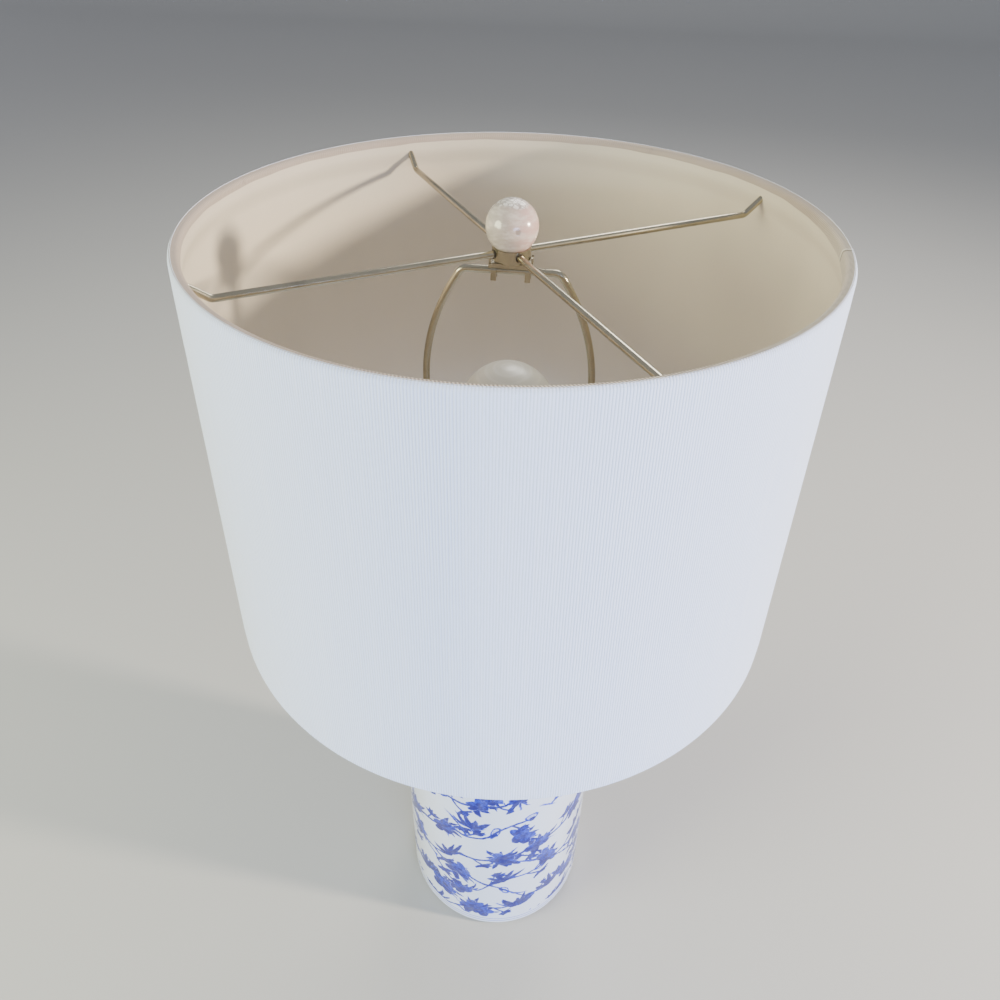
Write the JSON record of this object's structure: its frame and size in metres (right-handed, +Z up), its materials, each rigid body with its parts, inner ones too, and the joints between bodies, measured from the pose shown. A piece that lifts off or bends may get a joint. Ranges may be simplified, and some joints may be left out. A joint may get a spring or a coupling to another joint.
{
  "type": "ginger jar table lamp",
  "caption": "Table lamp with a lidded porcelain jar base, harp, wire spider, tapered fabric drum shade and stone ball finial; shade swivels, harp lifts, finial and bulb unscrew.",
  "frame": {"origin": "centre of the felt foot, on the surface that the lamp stands on", "axes": "+Z up the lamp's axis; the harp stands in the XZ plane, the switch knob points to -Y and the cord hole to +Y"},
  "size_m": [0.373, 0.3728, 0.7065],
  "materials": {
    "felt": "matte",
    "porcelain": "gloss",
    "bushing_plastic": "satin",
    "zinc_steel": "satin",
    "brushed_nickel": "satin",
    "fibre_board": "matte",
    "phenolic": "satin",
    "brass_sheet": "satin",
    "ring_steel": "satin",
    "shade_cloth": "matte",
    "liner_sheet": "matte",
    "edge_tape": "matte",
    "veined_stone": "gloss",
    "bulb_metal": "satin",
    "bulb_body": "satin",
    "bulb_diffuser": "satin"
  },
  "bodies": {
    "lamp_base": {"felt_pad": "felt", "jar_body": "porcelain", "jar_lid": "porcelain", "cord_bushing": "bushing_plastic", "lamp_pipe": "zinc_steel", "base_washer": "zinc_steel", "base_nut": "zinc_steel", "vase_cap": "brushed_nickel", "neck_tube": "brushed_nickel", "check_ring": "brushed_nickel", "harp_saddle": "brushed_nickel", "socket_cap": "brushed_nickel", "socket_set_screw": "zinc_steel", "socket_shell": "brushed_nickel", "socket_insulator": "fibre_board", "socket_core": "phenolic", "socket_screw_shell": "brass_sheet", "socket_contact": "brass_sheet", "terminal_screws": "brass_sheet"},
    "harp": {"harp_wire": "brushed_nickel", "harp_top_plate": "brushed_nickel", "harp_stud": "brushed_nickel"},
    "sleeve_left": {"harp_sleeve_left": "brushed_nickel"},
    "sleeve_right": {"harp_sleeve_right": "brushed_nickel"},
    "shade": {"spider_hub": "brushed_nickel", "spider_arm_1": "brushed_nickel", "spider_arm_2": "brushed_nickel", "spider_arm_3": "brushed_nickel", "spider_arm_4": "brushed_nickel", "shade_top_ring": "ring_steel", "shade_bottom_ring": "ring_steel", "shade_fabric": "shade_cloth", "shade_liner": "liner_sheet", "trim_top": "edge_tape", "trim_bottom": "edge_tape"},
    "finial_screw": {"finial_insert": "brass_sheet"},
    "finial": {"finial_ball": "veined_stone"},
    "switch": {"switch_stem": "zinc_steel", "switch_knob": "phenolic"},
    "bulb_screw": {"bulb_base": "bulb_metal", "bulb_insulator": "phenolic", "bulb_tip": "bulb_metal"},
    "bulb": {"bulb_housing": "bulb_body", "bulb_globe": "bulb_diffuser", "led_board": "bulb_body"}
  },
  "joints": [
    {"name": "harp_lift", "type": "slide", "parent": "lamp_base", "child": "harp", "axis": [0, 0, 1], "range_m": [0, 0.025]},
    {"name": "sleeve_left_slide", "type": "slide", "parent": "harp", "child": "sleeve_left", "axis": [0, 0, 1], "range_m": [0, 0.016]},
    {"name": "sleeve_right_slide", "type": "slide", "parent": "harp", "child": "sleeve_right", "axis": [0, 0, 1], "range_m": [0, 0.016]},
    {"name": "shade_swivel", "type": "hinge", "parent": "harp", "child": "shade", "pos_m": [0, 0, 0.6726], "axis": [0, 0, 1], "continuous": true},
    {"name": "finial_lift", "type": "slide", "parent": "harp", "child": "finial_screw", "axis": [0, 0, 1], "range_m": [0, 0.00941]},
    {"name": "finial_turn", "type": "hinge", "parent": "finial_screw", "child": "finial", "pos_m": [0, 0, 0.692], "axis": [0, 0, 1], "range_deg": [0, 3600]},
    {"name": "switch_turn", "type": "hinge", "parent": "lamp_base", "child": "switch", "pos_m": [0, -0.0165, 0.4937], "axis": [0, -1, 0], "continuous": true},
    {"name": "bulb_lift", "type": "slide", "parent": "lamp_base", "child": "bulb_screw", "axis": [0, 0, 1], "range_m": [0, 0.01815]},
    {"name": "bulb_turn", "type": "hinge", "parent": "bulb_screw", "child": "bulb", "pos_m": [0, 0, 0.55], "axis": [0, 0, 1], "range_deg": [0, 1800]}
  ],
  "couplings": [
    {"joint": "finial_lift", "follows": "finial_turn", "m_per_rad": 0.00014972},
    {"joint": "bulb_lift", "follows": "bulb_turn", "m_per_rad": 0.0005775}
  ]
}
